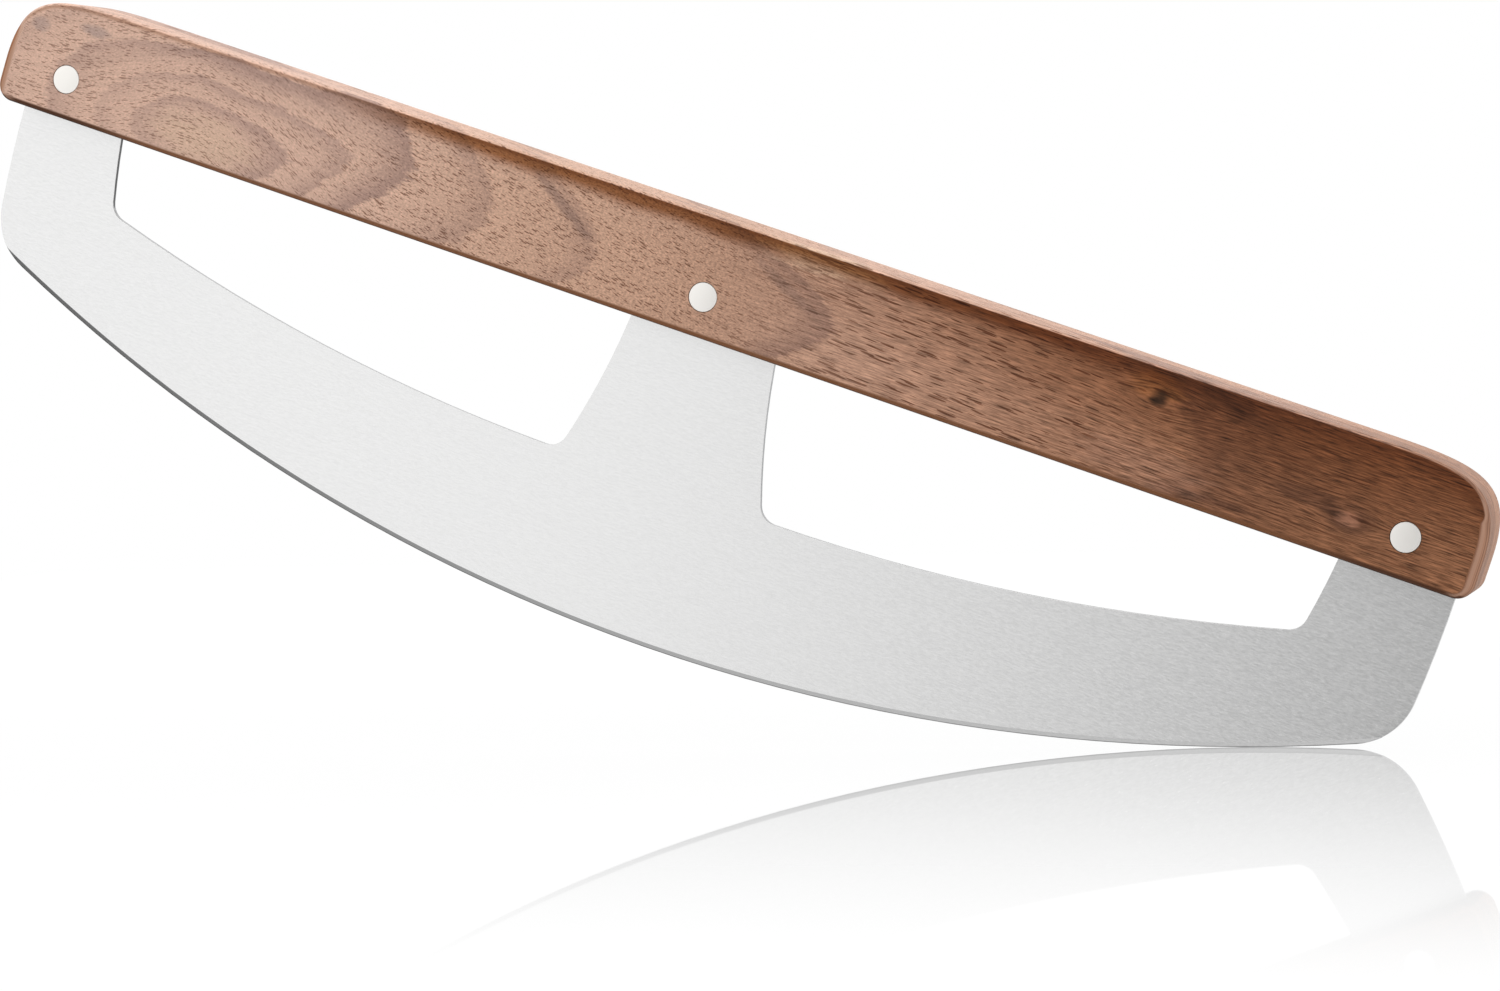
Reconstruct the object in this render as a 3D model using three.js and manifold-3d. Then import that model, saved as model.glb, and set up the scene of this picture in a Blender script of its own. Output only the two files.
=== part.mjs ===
// Mezzaluna: a rocking knife. A crescent steel blade stands on three tangs in a straight
// walnut handle made of two scales, which are glued face to face and riveted through the tangs.
//
// Millimetres, +Z up. X runs along the handle, the front faces -Y, and the origin is the
// lowest point of the cutting edge, at mid-length and mid-thickness.

import * as THREE from 'three';
import { mergeVertices } from 'three/addons/utils/BufferGeometryUtils.js';
import Module from 'manifold-3d';

// Handle
const HANDLE_LENGTH = 360;
const HANDLE_HEIGHT = 27;
const EDGE_TO_HANDLE = 71.6; // from the lowest point of the cutting edge up to the underside
const SCALE_THICKNESS = 9.7;
const GLUE_LINE = 0.1;
const HANDLE_EDGE_ROUND = 1.5; // round-over routed along every outer edge
const UPPER_CORNER_RUN = 33; // reach of the eased upper corner along the top
const UPPER_CORNER_DROP = 18.3; // reach of the same corner down the end
const UPPER_CORNER_PULL = 9.5; // the flat of the top draws the curve to this far from the end
const LOWER_CORNER_RADIUS = 4;

// Blade
const BLADE_THICKNESS = 1.2;
const CUTTING_EDGE_RADIUS = 422;
const BLADE_END_SETBACK = 3.8; // the blade stops this far inside each end of the handle
const BLADE_END_RADIUS = 290; // slight outward bow of the blade's ends
const HEEL_RADIUS = 15; // rounded corner between each end and the cutting edge
const BEVEL_HEIGHT = 1.1; // ground on both sides, along the cutting edge
const EDGE_LAND = 0.3; // flat left at the very edge

// Tangs, with widths taken at the underside of the handle
const CENTRE_TANG_WIDTH = 35.2;
const END_TANG_WIDTH = 26.1;
const TANG_DEPTH = 19;
const TANG_FLARE_RADIUS = 170; // the tangs widen downwards along this arc
const TANG_WAIST_RISE = 18.3; // their sides run plumb this far above the underside

// Finger windows between the tangs
const WINDOW_FLOOR_RADIUS = 450;
const WINDOW_FLOOR_HEIGHT = 36.4; // lowest point of the floor above the cutting edge
const WINDOW_FLOOR_OFFSET = 25; // that point's distance from mid-length
const WINDOW_CORNER_RADIUS = 4.5;

// Two-part rivets: a tubular half from the front, a solid half from the back
const RIVET_RISE = 9.1; // rivet axis above the underside of the handle
const RIVET_HEAD_DIAMETER = 6.6;
const RIVET_HEAD_HEIGHT = 3;
const RIVET_TUBE_DIAMETER = 4.8;
const RIVET_BORE_DIAMETER = 3.2;
const RIVET_TUBE_SHORT = 3.2; // the tube stops this far short of the head on the other side
const RIVET_HEAD_SINK = 0.05; // heads ground just below the wood

// Clearances
const TANG_CLEARANCE = 0.3; // round the outline of a tang in its pocket
const POCKET_CLEARANCE = 0.15; // between the face of a tang and the floor of its pocket
const RIVET_CLEARANCE = 0.15; // round a rivet, and under its head
const BORE_CLEARANCE = 0.1; // round and beyond the pin of one half in the tube of the other

// Facets
const CHORD_ERROR = 0.02; // how far a facet may stray from the true arc
const CORNER_STEPS = 14; // along each eased upper corner of the handle
const EDGE_ROUND_STEPS = 4;
const ROUND_SIDES = 40;
const GRIND_SIDES = 360;
const CUT_MARGIN = 2; // how far a cutter runs past what it cuts
const WELD = 1e-4; // vertices closer than this are one

// Levels and half sizes that several pieces share
const UNDERSIDE = EDGE_TO_HANDLE;
const HANDLE_TOP = UNDERSIDE + HANDLE_HEIGHT;
const HALF_LENGTH = HANDLE_LENGTH / 2;
const HALF_THICKNESS = SCALE_THICKNESS + GLUE_LINE / 2;
const BLADE_HALF_WIDTH = HALF_LENGTH - BLADE_END_SETBACK;
const TANG_TOP = UNDERSIDE + TANG_DEPTH;
const RIVET_HEIGHT = UNDERSIDE + RIVET_RISE;
const END_RIVET_X = BLADE_HALF_WIDTH - END_TANG_WIDTH / 2;
const RIVET_PLACES = { left: -END_RIVET_X, centre: 0, right: END_RIVET_X };
const BOTH_WAYS_ROUND = [0, Math.PI]; // as drawn, and swung half a turn about the upright

const wasm = await Module();
wasm.setup();

// Closed solid of a geometry, ready to be cut.
function solidOf(geometry) {
  geometry.deleteAttribute('normal');
  geometry.deleteAttribute('uv');
  const { index, attributes } = mergeVertices(geometry, WELD);
  const triangles = [];
  for (let i = 0; i < index.count; i += 3) {
    const corners = [index.getX(i), index.getX(i + 1), index.getX(i + 2)];
    if (new Set(corners).size === 3) triangles.push(...corners);
  }
  const mesh = new wasm.Mesh({
    numProp: 3,
    vertProperties: attributes.position.array,
    triVerts: new Uint32Array(triangles),
  });
  return new wasm.Manifold(mesh);
}

function geometryOf(solid) {
  const { vertProperties, triVerts } = solid.getMesh();
  const geometry = new THREE.BufferGeometry();
  geometry.setAttribute('position', new THREE.BufferAttribute(vertProperties, 3));
  geometry.setIndex(new THREE.BufferAttribute(triVerts, 1));
  geometry.computeVertexNormals();
  return geometry;
}

// Plate whose outline is drawn in X and Z, centred on Y = 0. A rounding eases both its rims,
// and a turn swings it about the upright through mid-length.
function plate(outline, thickness, { rounding = 0, turn = 0 } = {}) {
  const geometry = new THREE.ExtrudeGeometry(outline, {
    depth: thickness - 2 * rounding,
    curveSegments: CORNER_STEPS,
    bevelEnabled: rounding > 0,
    bevelThickness: rounding,
    bevelSize: rounding,
    bevelOffset: -rounding,
    bevelSegments: EDGE_ROUND_STEPS,
  });
  geometry.translate(0, 0, rounding - thickness / 2);
  geometry.rotateX(Math.PI / 2);
  geometry.rotateZ(turn);
  return solidOf(geometry);
}

// Round bar along Y.
function bar(diameter, fromY, toY, x, z) {
  const length = toY - fromY;
  const geometry = new THREE.CylinderGeometry(diameter / 2, diameter / 2, length, ROUND_SIDES);
  geometry.translate(x, (fromY + toY) / 2, z);
  return solidOf(geometry);
}

// Where two circles cross, on the right of the line from the first centre to the second.
function crossing(centreA, radiusA, centreB, radiusB) {
  const along = centreB.clone().sub(centreA);
  const distance = along.length();
  along.divideScalar(distance);
  const reach = (distance ** 2 + radiusA ** 2 - radiusB ** 2) / (2 * distance);
  const rise = Math.sqrt(radiusA ** 2 - reach ** 2);
  const across = new THREE.Vector2(along.y, -along.x);
  return centreA.clone().addScaledVector(along, reach).addScaledVector(across, rise);
}

// Draws an outline on along an arc, anticlockwise, in chords that keep to the chord error.
function arc(outline, centre, radius, from, to) {
  const widest = 2 * Math.acos(1 - CHORD_ERROR / radius);
  const steps = Math.ceil((to - from) / widest);
  for (let step = 0; step <= steps; step += 1) {
    const angle = from + ((to - from) * step) / steps;
    const offset = new THREE.Vector2(Math.cos(angle), Math.sin(angle)).multiplyScalar(radius);
    const point = centre.clone().add(offset);
    if (point.distanceTo(outline.currentPoint) > WELD) outline.lineTo(point.x, point.y);
  }
}

function bearing(centre, point) {
  return Math.atan2(point.y - centre.y, point.x - centre.x);
}

function mirrored(point) {
  return new THREE.Vector2(-point.x, point.y);
}

// Distance that an arc of the given radius falls away from its plumb side over a height.
function bow(radius, height) {
  return radius - Math.sqrt(radius ** 2 - height ** 2);
}

// Outline of the blade before its windows are cut, grown all round by an allowance: the
// cutting edge, a rounded heel and a bowed end on each side, and the level top of the tangs.
function blankOutline(allowance) {
  const edgeRadius = CUTTING_EDGE_RADIUS + allowance;
  const endRadius = BLADE_END_RADIUS + allowance;
  const heelRadius = HEEL_RADIUS + allowance;
  const top = TANG_TOP + allowance;
  const edgeCentre = new THREE.Vector2(0, CUTTING_EDGE_RADIUS);
  const endCentre = new THREE.Vector2(BLADE_HALF_WIDTH - BLADE_END_RADIUS, UNDERSIDE);
  const heelCentre = crossing(endCentre, endRadius - heelRadius, edgeCentre, edgeRadius - heelRadius);
  const edgeAngle = bearing(edgeCentre, heelCentre);
  const endAngle = bearing(endCentre, heelCentre);
  const sideX = BLADE_HALF_WIDTH + allowance;

  const outline = new THREE.Shape();
  outline.moveTo(-sideX, top);
  arc(outline, mirrored(endCentre), endRadius, Math.PI, Math.PI - endAngle);
  arc(outline, mirrored(heelCentre), heelRadius, Math.PI - endAngle, Math.PI - edgeAngle);
  arc(outline, edgeCentre, edgeRadius, -Math.PI - edgeAngle, edgeAngle);
  arc(outline, heelCentre, heelRadius, edgeAngle, endAngle);
  arc(outline, endCentre, endRadius, endAngle, 0);
  outline.lineTo(sideX, top);
  return outline;
}

// Outline of the right-hand finger window, drawn in by an allowance: a curved floor between
// the flared sides of the centre and end tangs, open at the top.
function windowOutline(allowance) {
  const floorRadius = WINDOW_FLOOR_RADIUS - allowance;
  const flareRadius = TANG_FLARE_RADIUS - allowance;
  const cornerRadius = WINDOW_CORNER_RADIUS;
  const waist = UNDERSIDE + TANG_WAIST_RISE;
  const top = TANG_TOP + CUT_MARGIN;
  const flareReach = TANG_FLARE_RADIUS - bow(TANG_FLARE_RADIUS, TANG_WAIST_RISE);
  const innerX = CENTRE_TANG_WIDTH / 2;
  const outerX = BLADE_HALF_WIDTH - END_TANG_WIDTH;
  const floorCentre = new THREE.Vector2(WINDOW_FLOOR_OFFSET, WINDOW_FLOOR_HEIGHT + WINDOW_FLOOR_RADIUS);
  const innerCentre = new THREE.Vector2(innerX + flareReach, waist);
  const outerCentre = new THREE.Vector2(outerX - flareReach, waist);
  const floorReach = floorRadius - cornerRadius;
  const flareCorner = flareRadius - cornerRadius;
  const innerCorner = crossing(floorCentre, floorReach, innerCentre, flareCorner);
  const outerCorner = crossing(outerCentre, flareCorner, floorCentre, floorReach);
  const innerTop = innerCentre.x - flareRadius;
  const outerTop = outerCentre.x + flareRadius;
  const innerSide = bearing(innerCentre, innerCorner);
  const innerFloor = bearing(floorCentre, innerCorner);
  const outerFloor = bearing(floorCentre, outerCorner);
  const outerSide = bearing(outerCentre, outerCorner);

  const outline = new THREE.Shape();
  outline.moveTo(innerTop, top);
  arc(outline, innerCentre, flareRadius, -Math.PI, innerSide);
  arc(outline, innerCorner, cornerRadius, innerSide, innerFloor);
  arc(outline, floorCentre, floorRadius, innerFloor, outerFloor);
  arc(outline, outerCorner, cornerRadius, outerFloor, outerSide);
  arc(outline, outerCentre, flareRadius, outerSide, 0);
  outline.lineTo(outerTop, top);
  return outline;
}

// Blade plate with its two windows, which leave the three tangs standing.
function bladePlate(thickness, allowance = 0) {
  const cutDepth = thickness + 2 * CUT_MARGIN;
  let solid = plate(blankOutline(allowance), thickness);
  for (const turn of BOTH_WAYS_ROUND) {
    solid = solid.subtract(plate(windowOutline(allowance), cutDepth, { turn }));
  }
  return solid;
}

// Ring that grinds the bevel on one side of the blade, a lathe form about the cutting edge's centre.
function bevelCutter(turn) {
  const slope = (BLADE_THICKNESS - EDGE_LAND) / 2 / BEVEL_HEIGHT;
  const overrun = EDGE_LAND / 2;
  const inner = CUTTING_EDGE_RADIUS - BEVEL_HEIGHT - overrun;
  const outer = CUTTING_EDGE_RADIUS + overrun;
  const face = -BLADE_THICKNESS / 2 - overrun * slope;
  const edge = -EDGE_LAND / 2 + overrun * slope;
  const section = [
    new THREE.Vector2(inner, face),
    new THREE.Vector2(outer, face),
    new THREE.Vector2(outer, edge),
    new THREE.Vector2(inner, face),
  ];
  const geometry = new THREE.LatheGeometry(section, GRIND_SIDES, Math.PI / GRIND_SIDES);
  geometry.translate(0, 0, CUTTING_EDGE_RADIUS);
  geometry.rotateZ(turn);
  return solidOf(geometry);
}

function bladeSolid() {
  let blade = bladePlate(BLADE_THICKNESS);
  for (const turn of BOTH_WAYS_ROUND) {
    blade = blade.subtract(bevelCutter(turn));
  }
  const holeDiameter = RIVET_TUBE_DIAMETER + 2 * RIVET_CLEARANCE;
  for (const x of Object.values(RIVET_PLACES)) {
    blade = blade.subtract(bar(holeDiameter, -BLADE_THICKNESS, BLADE_THICKNESS, x, RIVET_HEIGHT));
  }
  return blade;
}

// Side view of the handle: straight, with long eased corners above and small ones below.
function handleOutline() {
  const cornerCentre = new THREE.Vector2(HALF_LENGTH - LOWER_CORNER_RADIUS, UNDERSIDE + LOWER_CORNER_RADIUS);
  const shoulder = HALF_LENGTH - UPPER_CORNER_RUN;
  const pull = HALF_LENGTH - UPPER_CORNER_PULL;
  const cheek = HANDLE_TOP - UPPER_CORNER_DROP;
  const outline = new THREE.Shape();
  outline.moveTo(-cornerCentre.x, UNDERSIDE);
  arc(outline, cornerCentre, LOWER_CORNER_RADIUS, -Math.PI / 2, 0);
  outline.lineTo(HALF_LENGTH, cheek);
  outline.bezierCurveTo(HALF_LENGTH, HANDLE_TOP, pull, HANDLE_TOP, shoulder, HANDLE_TOP);
  outline.lineTo(-shoulder, HANDLE_TOP);
  outline.bezierCurveTo(-pull, HANDLE_TOP, -HALF_LENGTH, HANDLE_TOP, -HALF_LENGTH, cheek);
  arc(outline, mirrored(cornerCentre), LOWER_CORNER_RADIUS, Math.PI, Math.PI * 1.5);
  return outline;
}

// Handle blank with everything cut that both scales share: a pocket for each tang, and for
// each rivet a hole with a seat for the head on both sides.
function boredHandle() {
  const pockets = bladePlate(BLADE_THICKNESS + 2 * POCKET_CLEARANCE, TANG_CLEARANCE);
  let handle = plate(handleOutline(), 2 * HALF_THICKNESS, { rounding: HANDLE_EDGE_ROUND });
  handle = handle.subtract(pockets);
  const holeDiameter = RIVET_TUBE_DIAMETER + 2 * RIVET_CLEARANCE;
  const seatDiameter = RIVET_HEAD_DIAMETER + 2 * RIVET_CLEARANCE;
  const outside = HALF_THICKNESS + CUT_MARGIN;
  const seat = HALF_THICKNESS - RIVET_HEAD_SINK - RIVET_HEAD_HEIGHT - RIVET_CLEARANCE;
  for (const x of Object.values(RIVET_PLACES)) {
    handle = handle
      .subtract(bar(holeDiameter, -outside, outside, x, RIVET_HEIGHT))
      .subtract(bar(seatDiameter, -outside, -seat, x, RIVET_HEIGHT))
      .subtract(bar(seatDiameter, seat, outside, x, RIVET_HEIGHT));
  }
  return handle;
}

// One scale: the part of the bored handle on one side of the glue line.
function scaleSolid(handle, side) {
  const width = HANDLE_LENGTH + 2 * CUT_MARGIN;
  const depth = SCALE_THICKNESS + CUT_MARGIN;
  const height = HANDLE_HEIGHT + 2 * CUT_MARGIN;
  const half = new THREE.BoxGeometry(width, depth, height);
  half.translate(0, side * (GLUE_LINE / 2 + depth / 2), UNDERSIDE + HANDLE_HEIGHT / 2);
  return handle.intersect(solidOf(half));
}

// Tubular half of a rivet, from the outside of its head at the front to the end of its tube.
function rivetTube() {
  const face = -HALF_THICKNESS + RIVET_HEAD_SINK;
  const shoulder = face + RIVET_HEAD_HEIGHT;
  const end = -shoulder - RIVET_TUBE_SHORT;
  const section = [
    new THREE.Vector2(0, face),
    new THREE.Vector2(RIVET_HEAD_DIAMETER / 2, face),
    new THREE.Vector2(RIVET_HEAD_DIAMETER / 2, shoulder),
    new THREE.Vector2(RIVET_TUBE_DIAMETER / 2, shoulder),
    new THREE.Vector2(RIVET_TUBE_DIAMETER / 2, end),
    new THREE.Vector2(RIVET_BORE_DIAMETER / 2, end),
    new THREE.Vector2(RIVET_BORE_DIAMETER / 2, shoulder),
    new THREE.Vector2(0, shoulder),
  ];
  return new THREE.LatheGeometry(section, ROUND_SIDES);
}

// Solid half of a rivet: its pin fills the tube, and its head lies at the back.
function rivetPin() {
  const face = HALF_THICKNESS - RIVET_HEAD_SINK;
  const shoulder = face - RIVET_HEAD_HEIGHT;
  const tip = -shoulder + BORE_CLEARANCE;
  const pinRadius = RIVET_BORE_DIAMETER / 2 - BORE_CLEARANCE;
  const section = [
    new THREE.Vector2(0, tip),
    new THREE.Vector2(pinRadius, tip),
    new THREE.Vector2(pinRadius, shoulder),
    new THREE.Vector2(RIVET_HEAD_DIAMETER / 2, shoulder),
    new THREE.Vector2(RIVET_HEAD_DIAMETER / 2, face),
    new THREE.Vector2(0, face),
  ];
  return new THREE.LatheGeometry(section, ROUND_SIDES);
}

const steel = new THREE.MeshStandardMaterial({ color: 0xd2d3d3, roughness: 0.38, metalness: 1 });
const walnut = new THREE.MeshStandardMaterial({ color: 0x8a5f48, roughness: 0.5, metalness: 0 });
const aluminium = new THREE.MeshStandardMaterial({ color: 0xe6e3dc, roughness: 0.45, metalness: 1 });

function piece(name, geometry, material) {
  const mesh = new THREE.Mesh(geometry, material.clone());
  mesh.name = name;
  return mesh;
}

const mezzaluna = new THREE.Group();
mezzaluna.name = 'mezzaluna';

const handle = boredHandle();
mezzaluna.add(piece('blade', geometryOf(bladeSolid()), steel));
mezzaluna.add(piece('front_scale', geometryOf(scaleSolid(handle, -1)), walnut));
mezzaluna.add(piece('back_scale', geometryOf(scaleSolid(handle, 1)), walnut));

for (const [place, x] of Object.entries(RIVET_PLACES)) {
  const rivet = new THREE.Group();
  rivet.position.set(x, 0, RIVET_HEIGHT);
  rivet.add(piece(`${place}_rivet_tube`, rivetTube(), aluminium));
  rivet.add(piece(`${place}_rivet_pin`, rivetPin(), aluminium));
  mezzaluna.add(rivet);
}

export default mezzaluna;
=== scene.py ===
# Mezzaluna: a rocking knife with a brushed steel blade under a straight walnut handle.
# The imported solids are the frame, in metres: X runs along the handle and the front faces -Y.

import math

import bmesh
import bpy
from mathutils import Matrix, Quaternion, Vector


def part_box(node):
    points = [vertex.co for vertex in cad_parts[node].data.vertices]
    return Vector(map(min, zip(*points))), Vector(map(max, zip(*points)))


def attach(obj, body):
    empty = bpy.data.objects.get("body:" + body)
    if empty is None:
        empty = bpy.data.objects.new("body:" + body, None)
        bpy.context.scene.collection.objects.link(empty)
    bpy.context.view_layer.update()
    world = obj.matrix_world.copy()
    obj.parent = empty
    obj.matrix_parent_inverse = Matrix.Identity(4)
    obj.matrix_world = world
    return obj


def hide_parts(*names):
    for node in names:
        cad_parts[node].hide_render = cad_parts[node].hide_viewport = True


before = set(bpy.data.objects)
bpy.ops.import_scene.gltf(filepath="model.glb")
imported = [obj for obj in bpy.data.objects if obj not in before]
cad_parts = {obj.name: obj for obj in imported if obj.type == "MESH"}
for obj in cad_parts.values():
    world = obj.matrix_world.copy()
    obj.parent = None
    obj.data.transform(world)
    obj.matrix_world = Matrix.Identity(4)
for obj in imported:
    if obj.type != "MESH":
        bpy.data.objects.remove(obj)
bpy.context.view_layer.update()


# Blade: one plate of stainless steel, blanked with its tangs and finger windows, brushed along
# the handle and then ground to an edge on both sides. The tangs are riveted into the handle.

EDGE_EASE = 0.00008
EDGE_ARC_RADIUS = 0.422
BEVEL_HEIGHT = 0.0011
BLADE_HALF_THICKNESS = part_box("blade")[1].y

STEEL = (0.77, 0.77, 0.768)
GROUND_STEEL = (0.47, 0.47, 0.47)
EDGE_TIP_TONE = (0.16, 0.16, 0.16)
BLANKED_STEEL = (0.34, 0.34, 0.345)


class Wire:
    """A value on its way through a material. Arithmetic on wires adds Math nodes."""

    def __init__(self, tree, socket):
        self.tree = tree
        self.socket = socket

    def node(self, kind, settings=None, sockets=None, out=0):
        made = self.tree.nodes.new(kind)
        for name, value in (settings or {}).items():
            if name == "stops":
                self.set_stops(made.color_ramp, value)
            else:
                setattr(made, name, value)
        for key, value in (sockets or {}).items():
            self.plug(self.pick(made.inputs, key), value)
        return Wire(self.tree, self.pick(made.outputs, out))

    def plug(self, socket, value):
        if isinstance(value, Wire):
            self.tree.links.new(value.socket, socket)
        elif socket.type == "RGBA":
            socket.default_value = (*value, 1)
        else:
            socket.default_value = value

    @staticmethod
    def pick(sockets, key):
        if isinstance(key, int):
            return sockets[key]
        return next(s for s in sockets if key in (s.identifier, s.name))

    @staticmethod
    def set_stops(ramp, stops):
        while len(ramp.elements) < len(stops):
            ramp.elements.new(1)
        for element, (place, grey) in zip(ramp.elements, stops):
            element.position = place
            element.color = (grey, grey, grey, 1)

    def math(self, operation, *terms):
        return self.node("ShaderNodeMath", {"operation": operation}, dict(enumerate(terms)))

    def __add__(self, other):
        return self.math("ADD", self, other)

    def __radd__(self, other):
        return self.math("ADD", other, self)

    def __sub__(self, other):
        return self.math("SUBTRACT", self, other)

    def __rsub__(self, other):
        return self.math("SUBTRACT", other, self)

    def __mul__(self, other):
        return self.math("MULTIPLY", self, other)

    def __rmul__(self, other):
        return self.math("MULTIPLY", other, self)

    def __truediv__(self, other):
        return self.math("DIVIDE", self, other)

    def __pow__(self, other):
        return self.math("POWER", self, other)

    def __rpow__(self, other):
        return self.math("POWER", other, self)

    def __abs__(self):
        return self.math("ABSOLUTE", self)


def rise(value, low, high):
    """0 below low, 1 above high and a smooth rise between them."""
    sockets = {"Value": value, "From Min": low, "From Max": high}
    return value.node("ShaderNodeMapRange", {"interpolation_type": "SMOOTHSTEP"}, sockets)


def tint(share, colour, other, blend="MIX"):
    """A colour that goes over to another one by a share."""
    settings = {"data_type": "RGBA", "blend_type": blend}
    sockets = {"Factor_Float": share, "A_Color": colour, "B_Color": other}
    return share.node("ShaderNodeMix", settings, sockets, "Result_Color")


def shade(colour, factor):
    """A colour times a factor."""
    sockets = {0: colour, "Scale": factor}
    return colour.node("ShaderNodeVectorMath", {"operation": "SCALE"}, sockets, "Vector")


def grain(x, y, z, detail=2.0, roughness=0.5):
    """Cloudy noise between 0 and 1 on the given coordinates."""
    place = x.node("ShaderNodeCombineXYZ", sockets={"X": x, "Y": y, "Z": z})
    sockets = {"Vector": place, "Scale": 1.0, "Detail": detail, "Roughness": roughness}
    return x.node("ShaderNodeTexNoise", sockets=sockets, out="Fac")


def new_material(name):
    """A material, its shader node and the object coordinates in millimetres."""
    material = bpy.data.materials.new(name)
    material.use_nodes = True
    tree = material.node_tree
    place = Wire(tree, tree.nodes.new("ShaderNodeTexCoord").outputs["Object"])
    millimetres = [
        place.node("ShaderNodeSeparateXYZ", sockets={"Vector": place}, out=axis) * 1000
        for axis in "XYZ"
    ]
    return material, tree.nodes["Principled BSDF"], millimetres


def brushed_steel():
    material, shader, (x, y, z) = new_material("brushed_steel")
    long_lines = grain(x * 0.02, y * 3, z * 5.5, 3)
    fine_lines = grain(x * 0.8, y * 9, z * 3.2, 3, 0.65)
    lines = (long_lines - 0.5) * 0.06 + (fine_lines - 0.5) * (0.22 + 0.32 * rise(x, -20, 160))
    radius = (x * x + (z - EDGE_ARC_RADIUS * 1000) ** 2) ** 0.5
    bevel_start = (EDGE_ARC_RADIUS - BEVEL_HEIGHT) * 1000
    bevel = rise(radius, bevel_start - 0.05, bevel_start + 0.05)
    # Darker along the last few tenths of a millimetre of the cutting edge
    edge_tip = rise(radius, EDGE_ARC_RADIUS * 1000 - 0.28, EDGE_ARC_RADIUS * 1000 - 0.12)
    face = BLADE_HALF_THICKNESS * 1000
    wall = (1 - rise(abs(y), face - 0.12, face - 0.05)) * (1 - bevel)
    colour = tint(wall, tint(bevel, STEEL, GROUND_STEEL), BLANKED_STEEL)
    colour = tint(edge_tip, colour, EDGE_TIP_TONE)
    colour.plug(shader.inputs["Base Color"], shade(colour, 1 + lines))
    colour.plug(shader.inputs["Roughness"], 0.24 + lines * 0.3)
    shader.inputs["Metallic"].default_value = 1
    shader.inputs["Anisotropic"].default_value = 0.75
    shader.inputs["Anisotropic Rotation"].default_value = 0.25
    return material


def eased_copy(node, ease):
    """A copy of a solid's mesh with its edges eased, for a piece that replaces the solid."""
    shape = bmesh.new()
    shape.from_mesh(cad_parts[node].data)
    bmesh.ops.remove_doubles(shape, verts=shape.verts, dist=1e-6)
    flat = math.radians(0.2)
    bmesh.ops.dissolve_limit(shape, angle_limit=flat, verts=shape.verts, edges=shape.edges)
    sharp = [e for e in shape.edges if e.is_manifold and e.calc_face_angle() > math.radians(15)]
    bmesh.ops.bevel(shape, geom=sharp, offset=ease, segments=2, profile=0.5, affect="EDGES")
    bmesh.ops.triangulate(shape, faces=shape.faces)
    mesh = bpy.data.meshes.new(node)
    shape.to_mesh(mesh)
    shape.free()
    return mesh


def finished_mesh(piece):
    """The mesh that a piece's modifiers leave. The modifiers are then removed."""
    evaluated = piece.evaluated_get(bpy.context.evaluated_depsgraph_get())
    mesh = bpy.data.meshes.new_from_object(evaluated)
    piece.modifiers.clear()
    return mesh


def new_object(name, mesh):
    piece = bpy.data.objects.new(name, mesh)
    bpy.context.scene.collection.objects.link(piece)
    return piece


def add_piece(name, mesh, material, slot, *nodes, crease=50):
    """Puts a finished mesh in the scene as the piece that stands for some nodes."""
    mesh.materials.clear()
    mesh.materials.append(material)
    mesh.shade_smooth()
    mesh.set_sharp_from_angle(angle=math.radians(crease))
    piece = new_object(name, mesh)
    piece.modifiers.new("flat_faces", "WEIGHTED_NORMAL").keep_sharp = True
    piece.data = finished_mesh(piece)
    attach(piece, "root")
    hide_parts(*nodes)


add_piece("blade_plate", eased_copy("blade", EDGE_EASE), brushed_steel(), "steel", "blade")


# Handle scales: two boards of walnut, glued face to face over the tangs. Their outer edges are
# rounded over with a crisp shoulder, wider at the ends, and the wood is oiled to a satin finish.

UPPER_CORNER_RUN = 0.033
UPPER_CORNER_DROP = 0.0183
UPPER_CORNER_PULL = 0.0095
LOWER_CORNER_RADIUS = 0.004
ROUND_DEPTH = 0.0015
TOP_ROUND = 0.0006
UNDER_ROUND = 0.0013
CHEEK_ROUND = 0.0013
END_ROUND = 0.0024
END_ROUND_TOP = 0.0905
ROUND_SWEEP = math.radians(60)
CENTRE_TANG_WIDTH = 0.0352
END_TANG_WIDTH = 0.0261
TANG_CLEARANCE = 0.0003
POCKET_CLEARANCE = 0.00015
RIVET_FIT = 0.0001
RIVET_HEAD_HEIGHT = 0.003
RIVET_TUBE_RADIUS = 0.0024

HANDLE_END, HANDLE_TOP = [1000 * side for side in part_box("front_scale")[1].xz]
# Left and right wood tones: the wood's own colour with painted light in it, a painted pale sheen at
# the left and painted shade at the right
PALE_LIT_LEFT, DARK_LIT_LEFT = (0.715, 0.472, 0.362), (0.38, 0.245, 0.205)
PALE_SHADED_RIGHT, DARK_SHADED_RIGHT = (0.39, 0.180, 0.092), (0.150, 0.058, 0.027)
PORE = (0.30, 0.21, 0.17)
UPPER_DARKENING = (0.62, 0.48, 0.36)
EDGE_LINE = (0.45, 0.28, 0.15)
WARM = (0.93, 0.89, 0.83)
UNDERSIDE_SHADE, UNDER_SHADOW = (0.20, 0.078, 0.030), (0.40, 0.38, 0.40)
END_HIGHLIGHT = (0.52, 0.31, 0.22)
KNOT, EMBER, SOOT = (0.040, 0.024, 0.016), (0.36, 0.16, 0.06), (0.27, 0.22, 0.215)
GLOOM, GLEAM, PLUM = (0.080, 0.034, 0.021), (0.30, 0.14, 0.085), (0.20, 0.125, 0.105)
HONEY, TAN = (0.66, 0.46, 0.33), (0.36, 0.19, 0.125)

# Growth rings: distance of the sharp outer edge from the heart and width in mm, then strength
FRONT_RINGS = (
    (21, 8, 0.75),
    (33.5, 6, 0.70),
    (51, 10, 0.95),
    (71, 8, 0.65),
    (98, 7, 0.6),
    (155, 10, 0.75),
)
BACK_RINGS = ((16, 8, 0.5), (30, 9, 0.7), (52, 8, 0.6), (88, 10, 0.9), (133, 12, 0.7))
RINGS_REACH = 320

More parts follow.
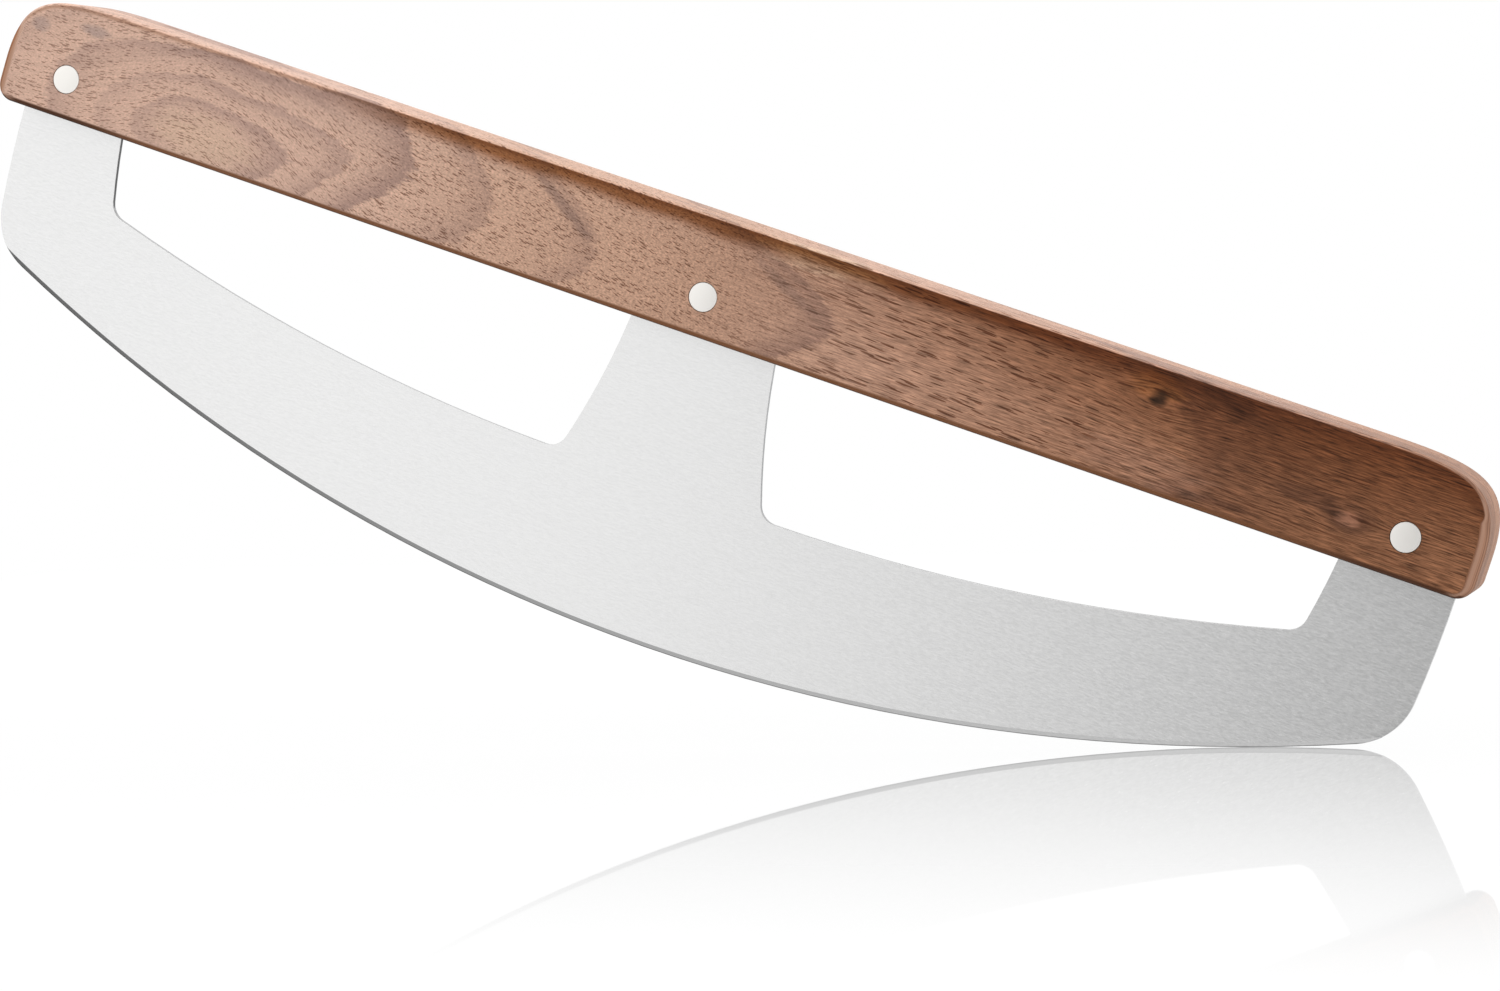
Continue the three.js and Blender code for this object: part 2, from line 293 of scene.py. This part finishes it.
# Knots that the grain flows round: x, z and radius in mm
FRONT_KNOTS = ((104.2, 91.8, 4), (150.5, 80.7, 3))
BACK_KNOTS = ((-96, 80, 3),)

# Marks: x, z, half width and half height in mm, rise along X, colour and strength
FRONT_MARKS = (
    (103, 94.2, 8, 4.2, 0, EMBER, 0.60),
    (104.2, 91.8, 2.8, 2.3, 0, KNOT, 0.95),
    (122, 95.0, 13, 2.6, -0.25, GLOOM, 0.50),
    (141, 82.5, 10, 2.8, 0, GLOOM, 0.50),
    (150.5, 80.7, 7, 4.4, 0, GLOOM, 0.65),
    (150.5, 80.7, 3.6, 2.3, 0, GLEAM, 0.8),
    (118, 74.4, 18, 1.3, 0.05, GLOOM, 0.5),
    (-38, 90.5, 11, 2.0, -0.62, PLUM, 0.55),
    (18, 88.5, 11, 1.8, -0.45, PLUM, 0.40),
    (104, 77, 20, 6, 0, TAN, 0.5),
    (24, 97, 17, 4.5, 0, HONEY, 0.85),
    (-126, 77.5, 17, 7, 0, HONEY, 0.5),
    (-173, 91.2, 3, 2.2, 0, SOOT, 0.40),
    (-159, 93.4, 5, 2.0, 0, SOOT, 0.50),
)
BACK_MARKS = (
    (-60, 84, 16, 4, 0.05, GLOOM, 0.35),
    (-96, 80, 2.6, 1.8, 0, GLOOM, 0.70),
    (96, 76, 20, 3, 0, GLEAM, 0.5),
)


def dashes(x, z, length, height, size):
    """Short dark dashes along X, one to a cell of the given length and height, of uneven sizes."""
    row = z / height
    place = x.node("ShaderNodeCombineXYZ", sockets={"X": x / length + row * 0.62, "Y": row})
    cells = {"Vector": place, "Scale": 1.0}
    flat = {"voronoi_dimensions": "2D"}
    nearest = x.node("ShaderNodeTexVoronoi", flat, cells, "Distance")
    luck = x.node("ShaderNodeTexVoronoi", flat, cells, "Color")
    luck = luck.node("ShaderNodeSeparateColor", sockets={"Color": luck}, out="Red")
    return rise(luck * luck * size * 1.3 - nearest, 0, 0.08)


def walnut(name, face_y, heart, run, rings, flame, knots, marks):
    """Walnut with its heart at a point x, z in mm and arches drawn out from there along X."""
    material, shader, (x, y, z) = new_material(name)
    depth = abs(y - face_y * 1000)
    heart_x, heart_z = heart
    along = (x - heart_x) * run
    shoulder = rise(depth, 0.02, 0.25)
    level = z + (98 - z) * shoulder + depth * 0.8

    # Growth rings: ovals round the heart, drawn out into arches, then one long flame
    crest = 4.5 * rise(along, 10, 60) + 6 * math.e ** ((along - 46) ** 2 / -300)
    across = level - heart_z - crest
    stretch = 2.6 + 3.2 * rise(along, 50, 150)
    waves = grain(along / 22, 0, level / 9) - 0.5
    ripples = grain(along / 7, 0, level / 1.6, 3) - 0.5
    feathers = grain(along / 3, 0, level / 0.5, 2) - 0.5
    left_side = along.math("MINIMUM", along, 0) * 0.25
    ring = ((along + left_side) ** 2 + (across * stretch) ** 2) ** 0.5
    ring = ring + waves * 10 + ripples * 5 + feathers * 5
    stops = [(0, 0.1)]
    for edge, width, strength in rings:
        stops += [((edge - width) / RINGS_REACH, 0.35 * strength), (edge / RINGS_REACH, strength)]
        stops += [((edge + 1.5) / RINGS_REACH, 0.12)]
    stops += [((flame - 4) / RINGS_REACH, 0.30), (flame / RINGS_REACH, 0.85)]
    stops += [((flame + 35) / RINGS_REACH, 0.60), (1, 0.45)]
    tone = ring.node("ShaderNodeValToRGB", {"stops": stops}, {"Fac": ring / RINGS_REACH})
    tone = tone.node("ShaderNodeSeparateColor", sockets={"Color": tone}, out="Red")
    tone = tone * (0.6 + 0.4 * rise(along, -30, 5))

    # Colour: paler and pinker to the left, deeper to the right. This is partly the wood's own tone
    # and partly painted light: a painted fall-off of light from left to right with a painted pale
    # sheen at the left, weaker on the rounded edge and top face
    top = shoulder * rise(z, 92, 96) * (1 - rise(x, 125, 165))
    deep_and_shaded = rise(x, -90, 150) * (1 - 0.25 * shoulder - 0.25 * top)
    pale = tint(deep_and_shaded, PALE_LIT_LEFT, PALE_SHADED_RIGHT)
    dark = tint(deep_and_shaded, DARK_LIT_LEFT, DARK_SHADED_RIGHT)
    wood = tint(tone, pale, dark)
    wood = tint(rise(x, -110, -40) * (1 - rise(x, -5, 40)), wood, WARM, "MULTIPLY")

    # Knots, stains and shadowed grain
    for mark_x, mark_z, half_width, half_height, slope, colour, strength in marks:
        offset = x - mark_x
        drift = level - mark_z - offset * slope
        reach = (offset / half_width) ** 2 + (drift / half_height) ** 2
        wood = tint((1 - rise(reach + ripples * 1.5, 0, 1)) * strength, wood, colour)

    # Lie of the grain: arched over the heart, level further on and parted round the knots
    arch = 12 * math.e ** (along * along / -900)
    height = level - arch + 5 * rise(along, 40, 136) + ripples * 0.25
    for knot_x, knot_z, radius in knots:
        offset, drift = x - knot_x, level - knot_z
        near = math.e ** (((offset / 2.5) ** 2 + drift ** 2) / -(radius * radius))
        height = height - drift * near * 0.8

    # Fibres and pores: fine streaks and dark dashes, both longer and bolder towards the right
    drawn_out = rise(along, 110, 175)
    streaks = grain(along * 0.05, 0, height * 1.6, 3) - 0.5
    short_fibres = grain(along * 1.6, 0, height * 2.8, 3, 0.6) - 0.5
    long_fibres = grain(along * 0.2, 0, height * 3.4, 3, 0.6) - 0.5
    fibres = short_fibres * (1 - drawn_out) + long_fibres * drawn_out
    past_heart = rise(along, 10, 60)
    far = rise(along, 210, 240)
    boldness = 0.9 + 0.6 * past_heart + 1.2 * rise(along, 60, 190) + far
    clusters = grain(along / 14, 0, height / 3)
    porous = (1.1 - 0.45 * tone) * (0.3 + 1.4 * clusters)
    dots = dashes(along, height, 1.4, 0.36, porous * 0.40)
    dots = dots * (0.65 + 0.2 * past_heart) * (1 - 0.8 * drawn_out)
    pores = dashes(along, height + 0.2, 5, 0.6, porous * 0.38) * drawn_out * (0.9 - 0.5 * far)
    lines = dashes(along, height + 0.4, 14, 0.5, porous * 0.36) * drawn_out * (0.35 + 0.3 * far)
    pores = 1 - (1 - dots) * (1 - pores) * (1 - lines)
    wood = shade(wood, (1 + streaks * 0.4) * (1 + fibres * boldness))
    wood = tint(pores, wood, PORE, "MULTIPLY")

    # Darker near the top edge; painted shade on the lower edge, over the end tangs and at the left
    # end; painted light at the ends and on the top face
    face = 1 - shoulder
    to_end = along.math("MAXIMUM", HANDLE_END - abs(x), 0)
    corner_run, corner_pull = 1000 * UPPER_CORNER_RUN, 3000 * UPPER_CORNER_PULL
    bend = corner_pull + (corner_run - corner_pull) * (to_end / corner_run) ** 0.5
    turn = (to_end / bend) ** 0.5
    turn = turn.math("MINIMUM", turn, 1)
    gap = HANDLE_TOP - 1000 * UPPER_CORNER_DROP * (1 - turn) ** 3 - z
    # Darker towards the top of the front face, from the middle to the right
    upper = rise(z + waves * 6, 76, 97) * rise(x, -20, 110)
    wood = tint(upper * face, wood, UPPER_DARKENING, "MULTIPLY")
    # Darker in a band a few millimetres under the top edge, and in a thin line just under it that
    # is stronger to the left
    top_edge_band = rise(x, -110, -65) * (1 - 0.6 * rise(x, 70, 130))
    top_edge_band = top_edge_band * (1 - rise(gap + waves * 3, 1.8, 5.5))
    wood = tint(top_edge_band * face, wood, EDGE_LINE, "MULTIPLY")
    lip = (1 - rise(gap * turn.math("MINIMUM", turn * 1.8, 1), 0.9, 1.7)) * face
    wood = tint(lip * (0.5 - 0.4 * rise(x, 30, 70)), wood, EDGE_LINE, "MULTIPLY")
    # Painted shade: the rounded lower edge, which faces down, made dark brown
    under = 1 - rise(z, 72.4, 73.0)
    wood = tint(under * 0.95, wood, UNDERSIDE_SHADE)
    # Painted shadow: the lower edge darker over the end tangs, and darker still along its lowest
    # strip
    wood = tint(under * rise(abs(x), 135, 160), wood, UNDER_SHADOW, "MULTIPLY")
    wood = tint(1 - rise(z, 71.7, 72.0), wood, UNDER_SHADOW, "MULTIPLY")
    # Painted shade: the left end's rounded edge made darker
    wood = tint(rise(x * -1, 177.6, 178.8), wood, EDGE_LINE, "MULTIPLY")
    # Painted highlight: the rounded front edges at the ends made paler, as if catching light
    lit_end_round = shoulder * (1 - rise(depth + ripples, 0.3, 0.6)) * rise(abs(x), 174, 177)
    wood = tint(lit_end_round * 0.6, wood, END_HIGHLIGHT)
    # Painted light: the top face made lighter, as if lit from above
    wood = shade(wood, 1 + 0.1 * top)

    wood.plug(shader.inputs["Base Color"], wood)
    wood.plug(shader.inputs["Roughness"], 0.5 + pores * 0.2 + fibres * 0.2)
    shader.inputs["Specular IOR Level"].default_value = 0.12
    bump = wood.node(
        "ShaderNodeBump",
        sockets={"Height": fibres * 0.4 - pores, "Strength": 0.3, "Distance": 0.0001},
        out="Normal",
    )
    wood.plug(shader.inputs["Normal"], bump)
    return material


def handle_outline():
    """Points round the handle seen from the front, each as x and z, anticlockwise."""
    low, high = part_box("front_scale")
    end, under, top = high.x, low.z, high.z
    centre = Vector((end - LOWER_CORNER_RADIUS, under + LOWER_CORNER_RADIUS))
    right = []
    for step in range(13):
        angle = math.radians(-90 + 7.5 * step)
        right.append(centre + LOWER_CORNER_RADIUS * Vector((math.cos(angle), math.sin(angle))))
    cheek = top - UPPER_CORNER_DROP
    right.append(Vector((end, (centre.y + cheek) / 2)))
    bends = [
        Vector((end, cheek)),
        Vector((end, top)),
        Vector((end - UPPER_CORNER_PULL, top)),
        Vector((end - UPPER_CORNER_RUN, top)),
    ]
    for step in range(41):
        t = step / 40
        weights = ((1 - t) ** 3, 3 * t * (1 - t) ** 2, 3 * t * t * (1 - t), t ** 3)
        right.append(sum((w * b for w, b in zip(weights, bends)), Vector((0, 0))))
    left = [Vector((-p.x, p.y)) for p in reversed(right)]
    return right + left


def round_over(normal, height):
    """How far the rounded edge reaches onto the outer face, by the way that the outline faces."""
    step = min(max((END_ROUND_TOP - height) / UNDER_ROUND, 0), 1)
    at_end = CHEEK_ROUND + (END_ROUND - CHEEK_ROUND) * step
    at_side = TOP_ROUND if normal.y > 0 else UNDER_ROUND
    return at_end * normal.x ** 2 + at_side * normal.y ** 2


def board_mesh(node, side):
    """One board of the handle: a flat glued face and a rounded outer face."""
    low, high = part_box(node)
    outer, glued = (low.y, high.y) if side < 0 else (high.y, low.y)
    outline = handle_outline()
    count = len(outline)
    normals = []
    for i in range(count):
        chord = outline[(i + 1) % count] - outline[i - 1]
        normals.append(Vector((chord.y, -chord.x)).normalized())
    shape = bmesh.new()
    rows = [[shape.verts.new((p.x, glued, p.y)) for p in outline]]
    steps = 8
    for step in range(steps + 1):
        angle = ROUND_SWEEP * step / steps
        in_share = (1 - math.cos(angle)) / (1 - math.cos(ROUND_SWEEP))
        y = outer - side * ROUND_DEPTH * (1 - math.sin(angle) / math.sin(ROUND_SWEEP))
        row = []
        for p, n in zip(outline, normals):
            inner = p - n * round_over(n, p.y) * in_share
            row.append(shape.verts.new((inner.x, y, inner.y)))
        rows.append(row)
    for near, far in zip(rows, rows[1:]):
        for i in range(count):
            j = (i + 1) % count
            shape.faces.new((near[i], near[j], far[j], far[i]))
    shape.faces.new(rows[0])
    shape.faces.new(rows[-1])
    return mesh_of(shape, node)


def mesh_of(shape, name):
    bmesh.ops.recalc_face_normals(shape, faces=shape.faces)
    mesh = bpy.data.meshes.new(name)
    shape.to_mesh(mesh)
    shape.free()
    return mesh


def turned(shape, profile, centre, sides=64):
    """Adds a closed form turned about an axis along Y, from a profile of radius and y."""
    rings = []
    for radius, y in profile:
        angles = [2 * math.pi * i / sides for i in range(sides if radius > 0 else 1)]
        ring = []
        for angle in angles:
            x, z = centre.x + radius * math.cos(angle), centre.z + radius * math.sin(angle)
            ring.append(shape.verts.new((x, y, z)))
        rings.append(ring)
    for near, far in zip(rings, rings[1:]):
        for i in range(sides):
            corners = [near[i % len(near)], near[(i + 1) % len(near)]]
            corners += [far[(i + 1) % len(far)], far[i % len(far)]]
            shape.faces.new(dict.fromkeys(corners))


def cut(mesh, cutter):
    """A mesh less a cutter's mesh."""
    stock, tool = new_object("stock", mesh), new_object("tool", cutter)
    saw = stock.modifiers.new("cut", "BOOLEAN")
    saw.object = tool
    saw.solver = "EXACT"
    result = finished_mesh(stock)
    bpy.data.objects.remove(stock)
    bpy.data.objects.remove(tool)
    return result


def tang_pockets(node):
    blade_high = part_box("blade")[1]
    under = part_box(node)[0].z
    depth = 2 * (BLADE_HALF_THICKNESS + POCKET_CLEARANCE)
    height = 2 * (blade_high.z + TANG_CLEARANCE - under)
    end_tang = blade_high.x - END_TANG_WIDTH / 2
    shape = bmesh.new()
    tangs = ((-end_tang, END_TANG_WIDTH), (0, CENTRE_TANG_WIDTH), (end_tang, END_TANG_WIDTH))
    for x, width in tangs:
        size = Vector((width + 2 * TANG_CLEARANCE, depth, height))
        place = Matrix.LocRotScale(Vector((x, 0, under)), None, size)
        bmesh.ops.create_cube(shape, size=1, matrix=place)
    return mesh_of(shape, "tang_pockets")


def rivet_holes(side):
    half = "tube" if side < 0 else "pin"
    shape = bmesh.new()
    for place in ("left", "centre", "right"):
        low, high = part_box(f"{place}_rivet_{half}")
        head = (high.x - low.x) / 2 + RIVET_FIT
        hole = RIVET_TUBE_RADIUS + RIVET_FIT
        face = low.y if side < 0 else high.y
        outside, seat = face * 1.2, face - side * (RIVET_HEAD_HEIGHT + RIVET_FIT)
        inside = -0.2 * face
        profile = [(0, outside), (head, outside), (head, seat)]
        profile += [(hole, seat), (hole, inside), (0, inside)]
        turned(shape, profile, (low + high) / 2)
    return mesh_of(shape, "rivet_holes")


for node, side, *figure in (
    ("front_scale", -1, (-126, 78), 1, FRONT_RINGS, 243, FRONT_KNOTS, FRONT_MARKS),
    ("back_scale", 1, (70, 89), -1, BACK_RINGS, 196, BACK_KNOTS, BACK_MARKS),
):
    low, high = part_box(node)
    face_y = low.y if side < 0 else high.y
    board = cut(cut(board_mesh(node, side), tang_pockets(node)), rivet_holes(side))
    wood = walnut(f"walnut_{node}", face_y, *figure)
    add_piece(f"{node}_board", board, wood, "walnut", node, crease=12)


# Rivets: three two-part cutler's rivets of aluminium, pressed together through the tangs from
# both sides and sanded flush with the wood.

RIVET_BORE_RADIUS = 0.0016
RIVET_PIN_RADIUS = 0.0015
RIVET_RIM_EASE = 0.00012
ALUMINIUM = (0.93, 0.905, 0.865)


def sanded_aluminium():
    material, shader, (x, y, z) = new_material("sanded_aluminium")
    scratches = grain(x * 2.5, y, z * 9, 2) - 0.5
    shader.inputs["Base Color"].default_value = (*ALUMINIUM, 1)
    scratches.plug(shader.inputs["Roughness"], 0.41 + scratches * 0.2)
    shader.inputs["Metallic"].default_value = 1
    return material


def row_of_three():
    """Geometry nodes that set a rivet down at mid-length and at an equal distance to each side."""
    tree = bpy.data.node_groups.new("row_of_three", "GeometryNodeTree")
    for kind, name in (("Geometry", "Rivet"), ("Float", "Spacing"), ("Material", "Finish")):
        tree.interface.new_socket(name, in_out="INPUT", socket_type=f"NodeSocket{kind}")
    tree.interface.new_socket("Rivets", in_out="OUTPUT", socket_type="NodeSocketGeometry")
    given, result = tree.nodes.new("NodeGroupInput"), tree.nodes.new("NodeGroupOutput")
    first, step = tree.nodes.new("ShaderNodeCombineXYZ"), tree.nodes.new("ShaderNodeCombineXYZ")
    back = tree.nodes.new("ShaderNodeMath")
    back.operation = "MULTIPLY"
    back.inputs[1].default_value = -1
    line = tree.nodes.new("GeometryNodeMeshLine")
    line.inputs["Count"].default_value = 3
    copies = tree.nodes.new("GeometryNodeInstanceOnPoints")
    real = tree.nodes.new("GeometryNodeRealizeInstances")
    finish = tree.nodes.new("GeometryNodeSetMaterial")
    for source, target in (
        (given.outputs["Spacing"], back.inputs[0]),
        (back.outputs[0], first.inputs["X"]),
        (given.outputs["Spacing"], step.inputs["X"]),
        (first.outputs[0], line.inputs["Start Location"]),
        (step.outputs[0], line.inputs["Offset"]),
        (line.outputs["Mesh"], copies.inputs["Points"]),
        (given.outputs["Rivet"], copies.inputs["Instance"]),
        (copies.outputs["Instances"], real.inputs["Geometry"]),
        (real.outputs["Geometry"], finish.inputs["Geometry"]),
        (given.outputs["Finish"], finish.inputs["Material"]),
        (finish.outputs["Geometry"], result.inputs["Rivets"]),
    ):
        tree.links.new(source, target)
    return tree


rivet_finish = sanded_aluminium()
rivet_row = row_of_three()
tube_low, tube_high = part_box("centre_rivet_tube")
pin_low, pin_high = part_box("centre_rivet_pin")
head = (tube_high.x - tube_low.x) / 2
tube_shoulder = tube_low.y + RIVET_HEAD_HEIGHT
pin_shoulder = pin_high.y - RIVET_HEAD_HEIGHT
tube_profile = [
    (0, tube_low.y),
    (head - RIVET_RIM_EASE, tube_low.y),
    (head, tube_low.y + RIVET_RIM_EASE),
    (head, tube_shoulder),
    (RIVET_TUBE_RADIUS, tube_shoulder),
    (RIVET_TUBE_RADIUS, tube_high.y),
    (RIVET_BORE_RADIUS, tube_high.y),
    (RIVET_BORE_RADIUS, tube_shoulder),
    (0, tube_shoulder),
]
pin_profile = [
    (0, pin_low.y),
    (RIVET_PIN_RADIUS, pin_low.y),
    (RIVET_PIN_RADIUS, pin_shoulder),
    (head, pin_shoulder),
    (head, pin_high.y - RIVET_RIM_EASE),
    (head - RIVET_RIM_EASE, pin_high.y),
    (0, pin_high.y),
]
for half, profile in (("tube", tube_profile), ("pin", pin_profile)):
    shape = bmesh.new()
    turned(shape, profile, (tube_low + tube_high) / 2)
    single = new_object("single_rivet", mesh_of(shape, half))
    row = single.modifiers.new("row", "NODES")
    row.node_group = rivet_row
    sizes = {"Spacing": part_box(f"right_rivet_{half}")[1].x - head, "Finish": rivet_finish}
    for socket in rivet_row.interface.items_tree:
        if socket.name in sizes:
            row[socket.identifier] = sizes[socket.name]
    rivets = finished_mesh(single)
    bpy.data.objects.remove(single)
    nodes = [f"{place}_rivet_{half}" for place in ("left", "centre", "right")]
    add_piece(f"rivet_{half}s", rivets, rivet_finish, "rivet", *nodes)


# Floor: a pale glossy board that the knife is rocked onto, so it meets the cutting edge near
# the right heel. Its shine fades away from the knife.

ROCK = math.radians(20.2)
FLOOR_SIZE = 1.2
SHINE_REACH = 315
SHINE_IOR = 1.55
SHINE_GAIN = 1.3
SHINE_COLOUR = (0.87, 0.87, 0.87)
FLOOR_GLOW = 0.9
FLOOR_MATT = (0.1, 0.1, 0.1)
FLOOR_GREY = (0.6, 0.6, 0.6)

contact = Vector((EDGE_ARC_RADIUS * math.sin(ROCK), 0, EDGE_ARC_RADIUS * (1 - math.cos(ROCK))))


def pale_floor():
    material, shader, (x, y, z) = new_material("pale_floor")
    tree = material.node_tree
    camera_ray = x.node("ShaderNodeLightPath", out="Is Camera Ray")
    shader.inputs["Base Color"].default_value = (*FLOOR_GREY, 1)
    shader.inputs["Roughness"].default_value = 0.6
    white = x.node("ShaderNodeEmission", sockets={"Color": (1, 1, 1), "Strength": FLOOR_GLOW})
    matt = x.node("ShaderNodeBsdfDiffuse", sockets={"Color": FLOOR_MATT})
    seen = x.node("ShaderNodeAddShader", sockets={0: white, 1: matt})
    mirror = x.node("ShaderNodeBsdfGlossy", sockets={"Color": SHINE_COLOUR, "Roughness": 0.02})
    fresnel = x.node("ShaderNodeFresnel", sockets={"IOR": SHINE_IOR})
    shine = fresnel * SHINE_GAIN * (1 - rise(abs(y), 0, SHINE_REACH))
    seen = x.node("ShaderNodeMixShader", sockets={0: shine, 1: seen, 2: mirror})
    plain = Wire(tree, shader.outputs[0])
    surface = x.node("ShaderNodeMixShader", sockets={0: camera_ray, 1: plain, 2: seen})
    clear = x.node("ShaderNodeBsdfTransparent")
    below = x.node("ShaderNodeNewGeometry", out="Backfacing")
    surface = x.node("ShaderNodeMixShader", sockets={0: below, 1: surface, 2: clear})
    x.plug(tree.nodes["Material Output"].inputs["Surface"], surface)
    return material


shape = bmesh.new()
for u, v in ((-1, -1), (1, -1), (1, 1), (-1, 1)):
    along, across = u * FLOOR_SIZE / 2, v * FLOOR_SIZE / 2
    offset = Vector((along * math.cos(ROCK), across, along * math.sin(ROCK)))
    shape.verts.new(contact + offset)
shape.faces.new(shape.verts)
floor_mesh = bpy.data.meshes.new("floor")
shape.to_mesh(floor_mesh)
shape.free()
floor_mesh.materials.append(pale_floor())
floor = new_object("floor", floor_mesh)
floor.visible_glossy = False


# Light: a white studio, brightest overhead, with dark screens that the steel mirrors: a tall one in
# front for the blade's right end, a low one for the bevel and a far one for the plate's cut edges.

LIGHT_LEVEL = 1.14
TOP_LIGHT = 0.25
SCREEN_SHADE = 0.86
DARK_SCREEN = 0.9

world = bpy.data.worlds.new("studio")
world.use_nodes = True
bpy.context.scene.world = world
tree = world.node_tree
background = tree.nodes["Background"]
direction = Wire(tree, tree.nodes.new("ShaderNodeTexCoord").outputs["Generated"])
dx, dy, dz = [
    direction.node("ShaderNodeSeparateXYZ", sockets={"Vector": direction}, out=axis)
    for axis in "XYZ"
]
below = rise(dz * -1, 0.35, 0.55)
front_screen = rise(dx, -0.34, 0.04) * (1 - rise(dx, 0.10, 0.40))
front_screen = front_screen * rise(dy * -1, 0.1, 0.6) * (1 - below)
low_screen = (1 - rise(dx, -0.8, 0.05)) * below
far_screen = rise(dx, 0.34, 0.44) * rise(dy, 0.72, 0.84)
overhead = rise(dz * math.cos(ROCK) - dx * math.sin(ROCK), 0.3, 0.8)
studio = LIGHT_LEVEL + TOP_LIGHT * overhead - SCREEN_SHADE * front_screen
studio = studio * (1 - DARK_SCREEN * low_screen) * (1 - DARK_SCREEN * far_screen)
camera_ray = direction.node("ShaderNodeLightPath", out="Is Camera Ray")
brightness = camera_ray + (1 - camera_ray) * studio
brightness.plug(background.inputs["Strength"], brightness)
background.inputs["Color"].default_value = (1, 1, 1, 1)


# Camera: a long lens in front of the handle's right end, rolled so that the board under the
# rocked knife lies level in the picture.

CAMERA_PLACE = Vector((0.25685, -0.84610, 0.17680))
CAMERA_AIM = Vector((0.023765, -0.00975, 0.042398))
CAMERA_ROLL = math.radians(17.117)
LENS = 95.425

lens = bpy.data.cameras.new("camera")
lens.lens = LENS
lens.clip_start, lens.clip_end = 0.01, 20
camera = bpy.data.objects.new("camera", lens)
bpy.context.scene.collection.objects.link(camera)
camera.location = CAMERA_PLACE
look = (CAMERA_AIM - CAMERA_PLACE).to_track_quat("-Z", "Y")
camera.rotation_mode = "QUATERNION"
camera.rotation_quaternion = look @ Quaternion((0, 0, 1), CAMERA_ROLL)
bpy.context.scene.camera = camera
bpy.context.scene.view_settings.view_transform = "Standard"
